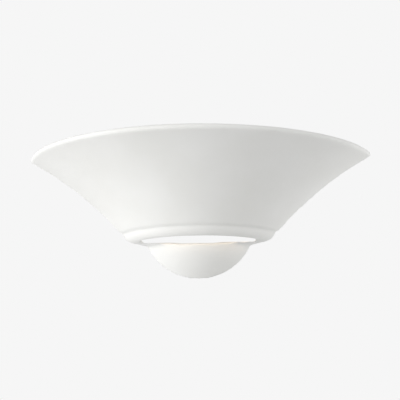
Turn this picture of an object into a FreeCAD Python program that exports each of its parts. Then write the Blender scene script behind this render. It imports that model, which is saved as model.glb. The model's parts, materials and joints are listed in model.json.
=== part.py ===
"""Uplighter wall sconce: a flared half-bowl casting with a slotted ball below it.

X runs to the right, Y into the wall and Z up. The origin lies on the wall, midway between
the two fixing holes of the wall plate. Every size is in millimetres and every angle in degrees.
"""
import FreeCAD, Part
import math
import os

os.makedirs("parts", exist_ok=True)

# ---- casting: a turned profile about an upright axis behind the wall, cut off flat at the wall
AXIS_BEHIND_WALL = 43.0
CASTING_WALL = 6.0
RIM_ABOVE_FIXINGS = 41.5
RIM_RADIUS = 190.0
RIM_EDGE_HEIGHT = 5.1
RIM_OUTER_ROUND = 3.0
RIM_INNER_ROUND = 1.2
BOWL_HEIGHT = 83.8
BOWL_FOOT_RADIUS = 96.4
FLARE_RADIUS = 318.0
BEAD_BELOW_FOOT = 1.6
BEAD_SET_IN = 3.6
BEAD_HEIGHT = 10.6
BEAD_ROUND = 13.0
LIP_SET_IN = 8.8
UNDERSIDE_SLOPE = 16.0
BALL_SET_IN = 9.2
BALL_CENTRE_ABOVE_LIP = 21.7
BALL_NECK_ROUND = 3.0
SLOT_END_OUT = 14.8
SLOT_END_ROUND = 2.5
SLOT_SILL_SET_IN = 14.0
SLOT_SILL_BELOW_LIP = 4.0
SLOT_SILL_TILT = 9.5

# ---- ears cast inside the bowl, with the studs and hand nuts that hold them
NUT_TO_BOWL = 6.0
STUD_STEP = 0.5
EAR_RADIUS = 10.0
EAR_THICKNESS = 8.0
EAR_HOLE_GAP = 1.0
STUD_RADIUS = 2.0
STUD_PAST_NUT = 4.3
STUD_COLLAR_ACROSS_FLATS = 8.0
STUD_COLLAR_LENGTH = 2.0
STUD_CHAMFER = 0.5
EAR_SEAT_GAP = 0.1
WASHER_RADIUS = 7.0
WASHER_THICKNESS = 1.0
WASHER_BORE_GAP = 0.3
NUT_RADIUS = 8.0
NUT_LENGTH = 8.0
NUT_NECK_RADIUS = 5.5
NUT_NECK_LENGTH = 2.0
NUT_KNURLS = 30
NUT_KNURL_DEPTH = 0.45
NUT_CHAMFER = 0.8
NUT_BORE_GAP = 0.15
NUT_SEAT_GAP = 0.1

# ---- wall plate: a strap with a deeper panel in the middle
PLATE_THICKNESS = 1.5
STRAP_HEIGHT = 24.0
FIXING_SPREAD = 150.0
FIXING_HOLE_RADIUS = 2.5
PANEL_SIDE_MARGIN = 9.5
PANEL_TOP_MARGIN = 5.0
PANEL_FOOT_MARGIN = 4.0
PANEL_CORNER = 6.0
TAPPED_HOLE_GAP = 0.05
SCREW_END_SETBACK = 0.2

# ---- cable entry in a raised boss of the plate
ENTRY_X = 38.0
ENTRY_Z = -19.0
ENTRY_BOSS_RISE = 3.0
ENTRY_BOSS_TAPER = 1.8
GROMMET_BORE_RADIUS = 4.5
GROMMET_NECK_WALL = 2.4
GROMMET_LIP = 2.1
GROMMET_FLANGE = 1.6
GROMMET_TAPER = 1.0
GROMMET_GAP = 0.1
GROMMET_ROOM = 0.85

# ---- bulb and holder lie along X; places along them are counted from the bracket's right face
BRACKET_FACE_X = -57.0
BULB_OUT = 38.0
BULB_UP = 6.0
BRACKET_THICKNESS = 1.5
BRACKET_WIDTH = 26.0
BRACKET_FOOT = 22.0
BRACKET_BEND = 2.4
BRACKET_SCREW_SPREAD = 14.0
BRACKET_SCREW_X = 13.0
M4_RADIUS = 2.0
M4_HEAD_RADIUS = 3.9
M4_HEAD_HEIGHT = 2.4
NIPPLE_RADIUS = 4.9
NIPPLE_WALL = 1.0
NIPPLE_BEHIND = 11.0
NIPPLE_INSIDE = 7.5
NIPPLE_GAP = 0.1
NIPPLE_WASHER_RADIUS = 8.5
NIPPLE_WASHER_THICKNESS = 0.8
NIPPLE_WASHER_TEETH = 12
NIPPLE_TOOTH = 1.0
LOCKNUT_ACROSS_FLATS = 14.0
LOCKNUT_THICKNESS = 3.0

THREAD_PITCH = 3.63
THREAD_WAVE = 0.35
THREAD_POINTS = 6
SHELL_MEAN_RADIUS = 13.95
SHELL_THICKNESS = 0.4
SHELL_SETBACK = 4.0
SHELL_FLANGE_WIDTH = 4.8
SHELL_FLANGE_THICKNESS = 0.5
LEDGE_GAP = 0.2
INSERT_UNDER_LEDGE = 0.9
INSERT_THICKNESS = 8.0
INSERT_STEP = 1.5
INSERT_GAP = 0.2
BARREL_GAP = 0.6
HOLDER_WALL = 2.8
HOLDER_BOSS_RADIUS = 8.5
HOLDER_BOSS_LENGTH = 2.5
CAP_LENGTH = 22.0
CAP_FLOOR = 8.5
CAP_BULGE = 2.2
CAP_THROAT = 1.5
CAP_SEAT_WIDTH = 2.2
BARREL_LENGTH = 34.0
BARREL_GRIPS = 24
BARREL_GRIP_DEPTH = 0.6
BARREL_GRIP_CORNER = 2.0
CONTACT_POST_OUT = 6.0
CONTACT_POST_RADIUS = 1.4
CONTACT_WIDTH = 5.0
CONTACT_THICKNESS = 0.4
CONTACT_RISE = 2.2
CONTACT_CURL = 1.0
TERMINAL_WIDTH = 5.0
TERMINAL_HEIGHT = 6.5
TERMINAL_LENGTH = 6.0
TERMINAL_FLOOR = 1.0
TERMINAL_SCREW_RADIUS = 1.25
TERMINAL_SCREW_HEAD_RADIUS = 2.2

BULB_TIP_GAP = 0.3
BULB_LENGTH = 76.0
GLOBE_RADIUS = 22.5
GLOBE_NECK_BLEND = 18.0
NECK_GAP = 0.275
GLASS_THICKNESS = 0.9
GLASS_SEAL = 15.0
CAP_SLEEVE_LENGTH = 20.5
CAP_THREAD_GAP = 1.3
CAP_WAVE = 0.3
CAP_THICKNESS = 0.35
CAP_INSULATOR_LENGTH = 3.5
TIP_RADIUS = 4.6
TIP_HEIGHT = 1.2
STEM_RADIUS = 2.4
STEM_LENGTH = 24.0
STEM_SKIRT = 6.0
STEM_PRESS = 8.0
STEM_EDGE = 1.0
SUPPORT_RADIUS = 0.35
FILAMENT_SPREAD = 9.0
FILAMENT_RADIUS = 0.5

# ---- three-way terminal block on the panel
BLOCK_X = -8.0
BLOCK_TOP_Z = -14.0
BLOCK_PITCH = 10.0
BLOCK_WAYS = 3
BLOCK_HEIGHT = 16.0
BLOCK_DEPTH = 14.0
BLOCK_BASE = 4.0
BLOCK_END_MARGIN = 1.0
BLOCK_HUMP_GAP = 1.2
BLOCK_EDGE_ROUND = 0.8
TUBE_WALL = 1.2
TUBE_BORE_GAP = 0.3
TUBE_END_SETBACK = 1.5
TUBE_GAP = 0.1
TUBE_STOP = 0.6
CLAMP_SCREW_SPREAD = 7.0
CLAMP_SCREW_RADIUS = 1.4
CLAMP_SCREW_HEAD_RADIUS = 1.9
CLAMP_SCREW_SINK = 1.4
BLOCK_SCREW_RADIUS = 1.5
BLOCK_SCREW_HEAD_RADIUS = 2.7
BLOCK_SCREW_HEAD_HEIGHT = 1.8

# ---- earth point on the panel
EARTH_X = 38.0
EARTH_Z = 9.0
EARTH_WASHER_THICKNESS = 0.6
EARTH_WASHER_TEETH = 10
EARTH_TOOTH = 0.8
EARTH_TAG_THICKNESS = 0.8
EARTH_TAG_RADIUS = 4.3
EARTH_TAG_REACH = 11.0
EARTH_FERRULE_WALL = 0.6
EARTH_FERRULE_LENGTH = 5.0

# ---- leads
LEAD_RADIUS = 1.0
LEAD_FIT = 0.1
LEAD_GRIP = 4.0
LEAD_BEND = 0.45
LEAD_RUN_OUT = 6.0
LEAD_CLEAR_OF_TERMINAL = 2.0
LEAD_IN_TERMINAL = 2.5
TERMINAL_BORE_GAP = 0.15
SLEEVE_WALL = 0.58
SLEEVE_SPACING = 0.24
SLEEVE_LENGTH = 16.0

# ---- helpers: axes, the reach of tools that cut right through, and when two places are the same
X_AXIS = FreeCAD.Vector(1, 0, 0)
Z_AXIS = FreeCAD.Vector(0, 0, 1)
ROOMWARD = FreeCAD.Vector(0, -1, 0)
FAR = 400.0
PAST = 1.0
SAME = 0.01
NECK_STEPS = 40

# ---- sizes and places that follow from the driving dimensions
RIM_Z = RIM_ABOVE_FIXINGS
BOWL_FOOT_Z = RIM_Z - BOWL_HEIGHT
BEAD_TOP_Z = BOWL_FOOT_Z - BEAD_BELOW_FOOT
LIP_Z = BEAD_TOP_Z - BEAD_HEIGHT
BEAD_TOP_RADIUS = BOWL_FOOT_RADIUS - BEAD_SET_IN
LIP_RADIUS = BEAD_TOP_RADIUS - LIP_SET_IN
BALL_RADIUS = LIP_RADIUS - BALL_SET_IN
BALL_Z = LIP_Z + BALL_CENTRE_ABOVE_LIP
SLOT_HALF_LENGTH = math.sqrt(LIP_RADIUS ** 2 - (AXIS_BEHIND_WALL + SLOT_END_OUT) ** 2)
SILL_Z = LIP_Z - SLOT_SILL_BELOW_LIP
SILL_OUT = LIP_RADIUS - AXIS_BEHIND_WALL - SLOT_SILL_SET_IN

PLATE_FACE = PLATE_THICKNESS
EAR_BACK = PLATE_FACE + STUD_COLLAR_LENGTH + EAR_SEAT_GAP
EAR_FRONT = EAR_BACK + EAR_THICKNESS
NUT_SEAT = EAR_FRONT + WASHER_THICKNESS + NUT_SEAT_GAP
NUT_FRONT = NUT_SEAT + NUT_LENGTH

BRACKET_LEFT_X = BRACKET_FACE_X - BRACKET_THICKNESS
BLOCK_FOOT_Z = BLOCK_TOP_Z - BLOCK_HEIGHT
PANEL_HALF_WIDTH = PANEL_SIDE_MARGIN - BRACKET_LEFT_X
PANEL_TOP_Z = BULB_UP + BRACKET_WIDTH / 2 + PANEL_TOP_MARGIN
PANEL_FOOT_Z = BLOCK_FOOT_Z - PANEL_FOOT_MARGIN
GROMMET_NECK_RADIUS = GROMMET_BORE_RADIUS + GROMMET_NECK_WALL
GROMMET_FLANGE_RADIUS = GROMMET_NECK_RADIUS + GROMMET_LIP
ENTRY_BOSS_RADIUS = GROMMET_FLANGE_RADIUS + GROMMET_ROOM + PLATE_THICKNESS / 2 + ENTRY_BOSS_TAPER

SHELL_OUTER_RADIUS = SHELL_MEAN_RADIUS + THREAD_WAVE + SHELL_THICKNESS / 2
SHELL_FLANGE_RADIUS = SHELL_MEAN_RADIUS + THREAD_WAVE
SHELL_FLANGE_BORE = SHELL_FLANGE_RADIUS - SHELL_FLANGE_WIDTH
LEDGE_RADIUS = SHELL_OUTER_RADIUS + LEDGE_GAP
INSERT_RADIUS = LEDGE_RADIUS + INSERT_UNDER_LEDGE
BARREL_BORE = INSERT_RADIUS + BARREL_GAP
HOLDER_RADIUS = BARREL_BORE + HOLDER_WALL
CAP_STEP = CAP_LENGTH - INSERT_STEP
INSERT_FACE = CAP_STEP + INSERT_THICKNESS
SHELL_END = CAP_LENGTH + BARREL_LENGTH - SHELL_SETBACK
CONTACT_TOP = INSERT_FACE + CONTACT_RISE
BULB_TIP = CONTACT_TOP + BULB_TIP_GAP
GLOBE_CENTRE = BULB_TIP + BULB_LENGTH - GLOBE_RADIUS
CAP_SLEEVE_START = BULB_TIP + TIP_HEIGHT + CAP_INSULATOR_LENGTH
CAP_SLEEVE_END = CAP_SLEEVE_START + CAP_SLEEVE_LENGTH
GLASS_START = BULB_TIP + GLASS_SEAL
CAP_MEAN_RADIUS = SHELL_MEAN_RADIUS - CAP_THREAD_GAP
GLOBE_NECK_RADIUS = CAP_MEAN_RADIUS - CAP_WAVE - CAP_THICKNESS / 2 - NECK_GAP

SLEEVE_RADIUS = LEAD_RADIUS + LEAD_FIT + SLEEVE_WALL
LEAD_SPREAD = 2 * SLEEVE_RADIUS + SLEEVE_SPACING
TERMINAL_BORE_RADIUS = LEAD_RADIUS + TERMINAL_BORE_GAP
EARTH_FERRULE_RADIUS = LEAD_RADIUS + LEAD_FIT + EARTH_FERRULE_WALL

TUBE_BORE_RADIUS = LEAD_RADIUS + TUBE_BORE_GAP
TUBE_RADIUS = TUBE_BORE_RADIUS + TUBE_WALL
WIRE_PORT_RADIUS = TUBE_RADIUS - TUBE_STOP
BLOCK_MID_Z = BLOCK_TOP_Z - BLOCK_HEIGHT / 2
BLOCK_WIDTH = BLOCK_WAYS * BLOCK_PITCH + 2 * BLOCK_END_MARGIN
WAY_X = [BLOCK_X + (i - (BLOCK_WAYS - 1) / 2) * BLOCK_PITCH for i in range(BLOCK_WAYS)]
BLOCK_SCREW_X = [x + BLOCK_PITCH / 2 for x in WAY_X[:-1]]
TUBE_Y = PLATE_FACE + BLOCK_BASE + BLOCK_SCREW_HEAD_HEIGHT + 2 * TUBE_GAP + TUBE_RADIUS
EARTH_TAG_BACK = PLATE_FACE + EARTH_WASHER_THICKNESS
FERRULE_OUT = EARTH_TAG_BACK + EARTH_FERRULE_RADIUS


# ---- general shapes
def place(x, out, z):
    """A point by its distance out from the wall."""
    return FreeCAD.Vector(x, -out, z)


def along_bulb(h, out=0.0, up=0.0):
    """A point h along the bulb's axis from the bracket's right face, offset out and up."""
    return place(BRACKET_FACE_X + h, BULB_OUT + out, BULB_UP + up)


def rod(radius, start, end):
    run = end - start
    return Part.makeCylinder(radius, run.Length, start, run)


def turned_face(edges, origin, axis):
    return Part.Face(Part.Wire(edges)).revolve(origin, axis, 360)


def turned(outline, origin, axis):
    """Revolve a closed outline of (along the axis, radius) points."""
    side = Z_AXIS if abs(axis.z) < 0.5 else X_AXIS
    points = [origin + axis * along + side * radius for along, radius in outline]
    edges = [Part.LineSegment(a, b).toShape() for a, b in zip(points, points[1:] + points[:1])]
    return turned_face(edges, origin, axis)


def block(x, out, z):
    """A box from (low, high) pairs: across, out from the wall, and up."""
    size = [x[1] - x[0], out[1] - out[0], z[1] - z[0]]
    return Part.makeBox(*size, FreeCAD.Vector(x[0], -out[1], z[0]))


def star(count, outer, inner, origin, axis, length):
    """A prism whose outline steps between two radii, for knurls, grips and toothed washers."""
    side = Z_AXIS if abs(axis.z) < 0.5 else X_AXIS
    other = axis.cross(side)
    points = []
    for i in range(2 * count):
        angle = math.pi * i / count
        radius = outer if i % 2 == 0 else inner
        points.append(origin + side * (radius * math.cos(angle)) + other * (radius * math.sin(angle)))
    return Part.Face(Part.makePolygon(points + points[:1])).extrude(axis * length)


def hexagon(across_flats, origin, axis, length):
    corner = across_flats / math.sqrt(3)
    return star(3, corner, corner, origin, axis, length)


def screw(seat, axis, head_radius, head_height, shank_radius, shank_length):
    """A slotted pan-head screw. The axis points from the seat to the top of the head."""
    edge = head_height / 3
    outline = [(-shank_length, 0), (-shank_length, shank_radius - edge / 2),
               (-shank_length + edge / 2, shank_radius), (0, shank_radius), (0, head_radius),
               (head_height - edge, head_radius), (head_height, head_radius - edge), (head_height, 0)]
    body = turned(outline, seat, axis)
    side = Z_AXIS if abs(axis.z) < 0.5 else X_AXIS
    across = axis.cross(side)
    half_slot = head_radius / 6
    corner = seat + axis * (head_height / 2) - side * (2 * head_radius) - across * half_slot
    ends = [corner, corner + side * (4 * head_radius)]
    ends += [ends[1] + across * (2 * half_slot), corner + across * (2 * half_slot)]
    slot = Part.Face(Part.makePolygon(ends + ends[:1])).extrude(axis * head_height)
    return body.cut(slot)


def rounded_upright(solid, radius, keep):
    """Round the upright edges (along Y) that the test keeps."""
    edges = [e for e in solid.Edges if len(e.Vertexes) == 2 and keep(e)]
    return solid.makeFillet(radius, edges)


def runs_along(edge, axis):
    a, b = [v.Point for v in edge.Vertexes]
    return (b - a).Length > 0 and abs((b - a).normalize().dot(axis)) > 1 - SAME


# ---- casting
def profile_point(radius, z):
    return FreeCAD.Vector(radius, AXIS_BEHIND_WALL, z)


def arc_about(centre, start, end):
    """The shorter arc about a centre, in the plane of the casting's profile."""
    middle = (start + end) * 0.5 - centre
    middle = middle.normalize() * (start - centre).Length
    return Part.Arc(start, centre + middle, end).toShape()


def line(a, b):
    return Part.LineSegment(a, b).toShape()


def arc_centre(start, end, radius, side):
    """Centre of the arc of a given radius from start to end; side is +1 for the outer side."""
    chord = end - start
    outward = FreeCAD.Vector(chord.z, 0, -chord.x).normalize()
    if outward.x * side < 0:
        outward = outward * -1
    return (start + end) * 0.5 + outward * math.sqrt(radius ** 2 - (chord.Length / 2) ** 2)


def on_circle(centre, radius, z, side):
    """The point of a profile circle at a height, on its inner (-1) or outer (+1) side."""
    reach = math.sqrt(radius ** 2 - (z - centre.z) ** 2)
    return profile_point(centre.x + side * reach, z)


FLARE_TOP = profile_point(RIM_RADIUS, RIM_Z - RIM_EDGE_HEIGHT)
FLARE_FOOT = profile_point(BOWL_FOOT_RADIUS, BOWL_FOOT_Z)
FLARE_CENTRE = arc_centre(FLARE_TOP, FLARE_FOOT, FLARE_RADIUS, 1)
BALL_CENTRE = profile_point(0, BALL_Z)


def bowl_inside_x(out, z):
    """Half the width inside the bowl, at a distance out from the wall and a height."""
    radius = on_circle(FLARE_CENTRE, FLARE_RADIUS + CASTING_WALL, z, -1).x
    return math.sqrt(radius ** 2 - (AXIS_BEHIND_WALL + out) ** 2)


STUD_ROOM = bowl_inside_x(NUT_FRONT, -NUT_RADIUS) - NUT_TO_BOWL
STUD_X = math.floor(STUD_ROOM / STUD_STEP) * STUD_STEP


def underside_z(radius, lift=0.0):
    """Height of the sloping underside at a radius, or of a face parallel to it."""
    slope = math.radians(UNDERSIDE_SLOPE)
    return LIP_Z + lift / math.cos(slope) - (LIP_RADIUS - radius) * math.tan(slope)


def neck_round():
    """The round between the underside and the ball: its start, middle and end."""
    slope = math.radians(UNDERSIDE_SLOPE)
    reach = BALL_RADIUS + BALL_NECK_ROUND
    radius = BALL_RADIUS
    for _ in range(NECK_STEPS):
        z = underside_z(radius, -BALL_NECK_ROUND)
        radius = math.sqrt(reach ** 2 - (z - BALL_Z) ** 2)
    centre = profile_point(radius, underside_z(radius, -BALL_NECK_ROUND))
    up = FreeCAD.Vector(-math.sin(slope), 0, math.cos(slope))
    start = centre + up * BALL_NECK_ROUND
    end = centre + (BALL_CENTRE - centre).normalize() * BALL_NECK_ROUND
    return centre, start, end


def foot_round():
    """The round that turns the foot of the bowl in to the bead's top: its centre and two ends."""
    bead_top = profile_point(BEAD_TOP_RADIUS, BEAD_TOP_Z)
    out, up = FLARE_CENTRE.x - bead_top.x, bead_top.z - FLARE_CENTRE.z
    radius = (out ** 2 + up ** 2 - FLARE_RADIUS ** 2) / (2 * (FLARE_RADIUS - up))
    centre = bead_top + Z_AXIS * radius
    start = FLARE_CENTRE + (centre - FLARE_CENTRE).normalize() * FLARE_RADIUS
    return centre, start, bead_top


def outer_edges():
    """Outside of the casting, from the rim's outer top corner down to the foot of the ball."""
    top = profile_point(RIM_RADIUS - RIM_OUTER_ROUND, RIM_Z)
    side = profile_point(RIM_RADIUS, RIM_Z - RIM_OUTER_ROUND)
    round_centre = profile_point(top.x, side.z)
    foot_centre, foot, bead_top = foot_round()
    lip = profile_point(LIP_RADIUS, LIP_Z)
    bead_centre = arc_centre(bead_top, lip, BEAD_ROUND, -1)
    neck_centre, neck_top, neck_foot = neck_round()
    ball_foot = profile_point(0, BALL_Z - BALL_RADIUS)
    edges = [arc_about(round_centre, top, side), line(side, FLARE_TOP)]
    edges += [arc_about(FLARE_CENTRE, FLARE_TOP, foot), arc_about(foot_centre, foot, bead_top)]
    edges += [arc_about(bead_centre, bead_top, lip), line(lip, neck_top)]
    edges += [arc_about(neck_centre, neck_top, neck_foot), arc_about(BALL_CENTRE, neck_foot, ball_foot)]
    return edges, top, ball_foot


def casting_block():
    """The casting as a solid without its hollow."""
    edges, top, ball_foot = outer_edges()
    axis_top = profile_point(0, RIM_Z)
    edges += [line(ball_foot, axis_top), line(axis_top, top)]
    return turned_face(edges, profile_point(0, 0), Z_AXIS)


def casting_hollow():
    """The hollow of the casting, open at the top."""
    flare = FLARE_RADIUS + CASTING_WALL
    foot_z = BEAD_TOP_Z
    shelf_radius = LIP_RADIUS - CASTING_WALL / 2
    shelf = profile_point(shelf_radius, underside_z(shelf_radius, CASTING_WALL))
    ball = BALL_RADIUS - CASTING_WALL
    neck_z = underside_z(ball, CASTING_WALL)
    neck = on_circle(BALL_CENTRE, ball, neck_z, 1)
    low = on_circle(FLARE_CENTRE, flare, foot_z, -1)
    high = on_circle(FLARE_CENTRE, flare, RIM_Z - RIM_INNER_ROUND, -1)
    flared = profile_point(high.x + 2 * RIM_INNER_ROUND, RIM_Z + RIM_INNER_ROUND)
    axis_top = profile_point(0, flared.z)
    axis_foot = profile_point(0, BALL_Z - ball)
    edges = [line(axis_top, flared), line(flared, high), arc_about(FLARE_CENTRE, high, low)]
    edges += [line(low, shelf), line(shelf, neck), arc_about(BALL_CENTRE, neck, axis_foot)]
    edges += [line(axis_foot, axis_top)]
    return turned_face(edges, profile_point(0, 0), Z_AXIS)


def slot_cutter():
    """The crescent cut through the underside: inside the lip, above a sill that falls outward."""
    depth = SLOT_SILL_BELOW_LIP + LIP_RADIUS * math.tan(math.radians(SLOT_SILL_TILT))
    base = FreeCAD.Vector(0, AXIS_BEHIND_WALL, LIP_Z - depth)
    crescent = Part.makeCylinder(LIP_RADIUS, depth + 2 * CASTING_WALL, base, Z_AXIS)
    span = block((-SLOT_HALF_LENGTH, SLOT_HALF_LENGTH), (0, LIP_RADIUS), (base.z, RIM_Z))
    crescent = crescent.common(span)

    def at_the_ends(edge):
        mid = edge.CenterOfMass
        return runs_along(edge, Z_AXIS) and abs(abs(mid.x) - SLOT_HALF_LENGTH) < SAME and mid.y < -SAME

    crescent = rounded_upright(crescent, SLOT_END_ROUND, at_the_ends)
    below = Part.makeBox(FAR, FAR, FAR, FreeCAD.Vector(-FAR / 2, -FAR / 2, -FAR))
    below.rotate(FreeCAD.Vector(0, 0, 0), X_AXIS, SLOT_SILL_TILT)
    below.translate(place(0, SILL_OUT, SILL_Z))
    return crescent.cut(below)


def ear_blank(side, solid_casting):
    """One ear, joined to the inside of the bowl, before its hole is drilled."""
    x = side * STUD_X
    boss = rod(EAR_RADIUS, place(x, EAR_BACK, 0), place(x, EAR_FRONT, 0))
    reach = sorted((x, side * RIM_RADIUS))
    arm = block(reach, (EAR_BACK, EAR_FRONT), (-EAR_RADIUS, EAR_RADIUS))
    return boss.fuse(arm).common(solid_casting)


def ceramic_shade():
    solid = casting_block()
    shell = solid.cut(casting_hollow()).cut(slot_cutter())
    for side in (-1, 1):
        shell = shell.fuse(ear_blank(side, solid))
    for side in (-1, 1):
        x = side * STUD_X
        hole = rod(STUD_RADIUS + EAR_HOLE_GAP, place(x, 0, 0), place(x, EAR_FRONT + PAST, 0))
        shell = shell.cut(hole)
    room_side = block((-FAR, FAR), (0, FAR), (-FAR, FAR))
    return shell.common(room_side).removeSplitter()


# ---- studs, washers and nuts of the ears
def shade_studs():
    studs = []
    for side in (-1, 1):
        x = side * STUD_X
        end = NUT_FRONT + STUD_PAST_NUT
        outline = [(SCREW_END_SETBACK, 0), (SCREW_END_SETBACK, STUD_RADIUS),
                   (end - STUD_CHAMFER, STUD_RADIUS), (end, STUD_RADIUS - STUD_CHAMFER), (end, 0)]
        stud = turned(outline, place(x, 0, 0), ROOMWARD)
        collar = hexagon(STUD_COLLAR_ACROSS_FLATS, place(x, PLATE_FACE, 0), ROOMWARD, STUD_COLLAR_LENGTH)
        studs.append(stud.fuse(collar).removeSplitter())
    return studs


def shade_washers():
    washers = []
    for side in (-1, 1):
        x = side * STUD_X
        ends = place(x, EAR_FRONT, 0), place(x, EAR_FRONT + WASHER_THICKNESS, 0)
        washers.append(rod(WASHER_RADIUS, *ends).cut(rod(STUD_RADIUS + WASHER_BORE_GAP, *ends)))
    return washers


def shade_nut(side):
    """A knurled hand nut with a plain neck that bears on the washer."""
    x = side * STUD_X
    seat = place(x, NUT_SEAT, 0)
    knurled = star(NUT_KNURLS, NUT_RADIUS, NUT_RADIUS - NUT_KNURL_DEPTH, seat, ROOMWARD, NUT_LENGTH)
    blank = [(0, 0), (0, NUT_NECK_RADIUS), (NUT_NECK_LENGTH, NUT_NECK_RADIUS),
             (NUT_NECK_LENGTH, NUT_RADIUS - NUT_CHAMFER), (NUT_NECK_LENGTH + NUT_CHAMFER, NUT_RADIUS),
             (NUT_LENGTH - NUT_CHAMFER, NUT_RADIUS), (NUT_LENGTH, NUT_RADIUS - NUT_CHAMFER),
             (NUT_LENGTH, 0)]
    nut = knurled.common(turned(blank, seat, ROOMWARD))
    return nut.cut(rod(STUD_RADIUS + NUT_BORE_GAP, seat, place(x, NUT_FRONT, 0)))


# ---- wall plate and cable entry
def entry_boss():
    """The raised ring that holds the grommet clear of the wall."""
    top = PLATE_THICKNESS + ENTRY_BOSS_RISE
    inset = PLATE_THICKNESS / 2
    hole = GROMMET_NECK_RADIUS + GROMMET_GAP
    outline = [(top, hole), (top, ENTRY_BOSS_RADIUS - ENTRY_BOSS_TAPER),
               (PLATE_THICKNESS, ENTRY_BOSS_RADIUS), (PLATE_THICKNESS, ENTRY_BOSS_RADIUS + inset),
               (0, ENTRY_BOSS_RADIUS + inset), (0, ENTRY_BOSS_RADIUS - inset),
               (ENTRY_BOSS_RISE, ENTRY_BOSS_RADIUS - ENTRY_BOSS_TAPER - inset), (ENTRY_BOSS_RISE, hole)]
    return turned(outline, place(ENTRY_X, 0, ENTRY_Z), ROOMWARD)


def plate_hole(radius, x, z):
    return rod(radius, place(x, -PAST, z), place(x, PLATE_THICKNESS + PAST, z))


def bracket_screw_places():
    return [(BRACKET_FACE_X + BRACKET_SCREW_X, BULB_UP + side * BRACKET_SCREW_SPREAD / 2)
            for side in (-1, 1)]


def wall_plate():
    thick = (0, PLATE_THICKNESS)
    plate = block((-STUD_X, STUD_X), thick, (-STRAP_HEIGHT / 2, STRAP_HEIGHT / 2))
    for side in (-1, 1):
        ends = place(side * STUD_X, 0, 0), place(side * STUD_X, PLATE_THICKNESS, 0)
        plate = plate.fuse(rod(STRAP_HEIGHT / 2, *ends))
    panel = block((-PANEL_HALF_WIDTH, PANEL_HALF_WIDTH), thick, (PANEL_FOOT_Z, PANEL_TOP_Z))
    panel = rounded_upright(panel, PANEL_CORNER, lambda edge: runs_along(edge, ROOMWARD))
    plate = plate.fuse(panel).cut(plate_hole(ENTRY_BOSS_RADIUS, ENTRY_X, ENTRY_Z)).fuse(entry_boss())
    holes = [(FIXING_HOLE_RADIUS, side * FIXING_SPREAD / 2, 0) for side in (-1, 1)]
    holes += [(STUD_RADIUS + TAPPED_HOLE_GAP, side * STUD_X, 0) for side in (-1, 1)]
    holes += [(M4_RADIUS + TAPPED_HOLE_GAP, x, z) for x, z in bracket_screw_places()]
    holes += [(BLOCK_SCREW_RADIUS + TAPPED_HOLE_GAP, x, BLOCK_MID_Z) for x in BLOCK_SCREW_X]
    holes += [(M4_RADIUS + TAPPED_HOLE_GAP, EARTH_X, EARTH_Z)]
    for radius, x, z in holes:
        plate = plate.cut(plate_hole(radius, x, z))
    return plate.removeSplitter()


def cable_grommet():
    """A rubber grommet whose groove grips the edge of the boss."""
    back = ENTRY_BOSS_RISE - GROMMET_GAP / 2
    front = ENTRY_BOSS_RISE + PLATE_THICKNESS + GROMMET_GAP / 2
    back_end, front_end = back - GROMMET_FLANGE, front + GROMMET_FLANGE
    outline = [(back_end, GROMMET_BORE_RADIUS), (back_end, GROMMET_FLANGE_RADIUS),
               (back, GROMMET_FLANGE_RADIUS), (back, GROMMET_NECK_RADIUS), (front, GROMMET_NECK_RADIUS),
               (front, GROMMET_FLANGE_RADIUS), (front_end, GROMMET_FLANGE_RADIUS - GROMMET_TAPER),
               (front_end, GROMMET_BORE_RADIUS)]
    return turned(outline, place(ENTRY_X, 0, ENTRY_Z), ROOMWARD)


# ---- bracket that carries the lampholder
def holder_bracket():
    left = BRACKET_LEFT_X
    back = PLATE_FACE
    rise = (BULB_UP - BRACKET_WIDTH / 2, BULB_UP + BRACKET_WIDTH / 2)
    upright = block((left, BRACKET_FACE_X), (back, BULB_OUT), rise)
    upright = upright.fuse(rod(BRACKET_WIDTH / 2, along_bulb(-BRACKET_THICKNESS), along_bulb(0)))
    foot = block((left, left + BRACKET_FOOT), (back, back + BRACKET_THICKNESS), rise)
    bracket = upright.fuse(foot).removeSplitter()

    def outer_bend(edge):
        mid = edge.CenterOfMass
        return runs_along(edge, Z_AXIS) and abs(mid.x - left) < SAME and abs(mid.y + back) < SAME

    def inner_bend(edge):
        mid = edge.CenterOfMass
        at_corner = abs(mid.x - BRACKET_FACE_X) < SAME and abs(mid.y + back + BRACKET_THICKNESS) < SAME
        return runs_along(edge, Z_AXIS) and at_corner

    bracket = rounded_upright(bracket, BRACKET_BEND, outer_bend)
    bracket = rounded_upright(bracket, BRACKET_BEND - BRACKET_THICKNESS, inner_bend)
    nipple_hole = NIPPLE_RADIUS + NIPPLE_GAP
    bracket = bracket.cut(rod(nipple_hole, along_bulb(-BRACKET_THICKNESS - PAST), along_bulb(PAST)))
    for x, z in bracket_screw_places():
        ends = place(x, 0, z), place(x, back + 2 * BRACKET_THICKNESS, z)
        bracket = bracket.cut(rod(M4_RADIUS + NIPPLE_GAP, *ends))
    return bracket


def bracket_screws():
    shank = PLATE_THICKNESS + BRACKET_THICKNESS - SCREW_END_SETBACK
    seat = PLATE_FACE + BRACKET_THICKNESS
    return [screw(place(x, seat, z), ROOMWARD, M4_HEAD_RADIUS, M4_HEAD_HEIGHT, M4_RADIUS, shank)
            for x, z in bracket_screw_places()]


def holder_nipple():
    outer = rod(NIPPLE_RADIUS, along_bulb(-NIPPLE_BEHIND), along_bulb(NIPPLE_INSIDE))
    bore = NIPPLE_RADIUS - NIPPLE_WALL
    return outer.cut(rod(bore, along_bulb(-NIPPLE_BEHIND), along_bulb(NIPPLE_INSIDE)))


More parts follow.
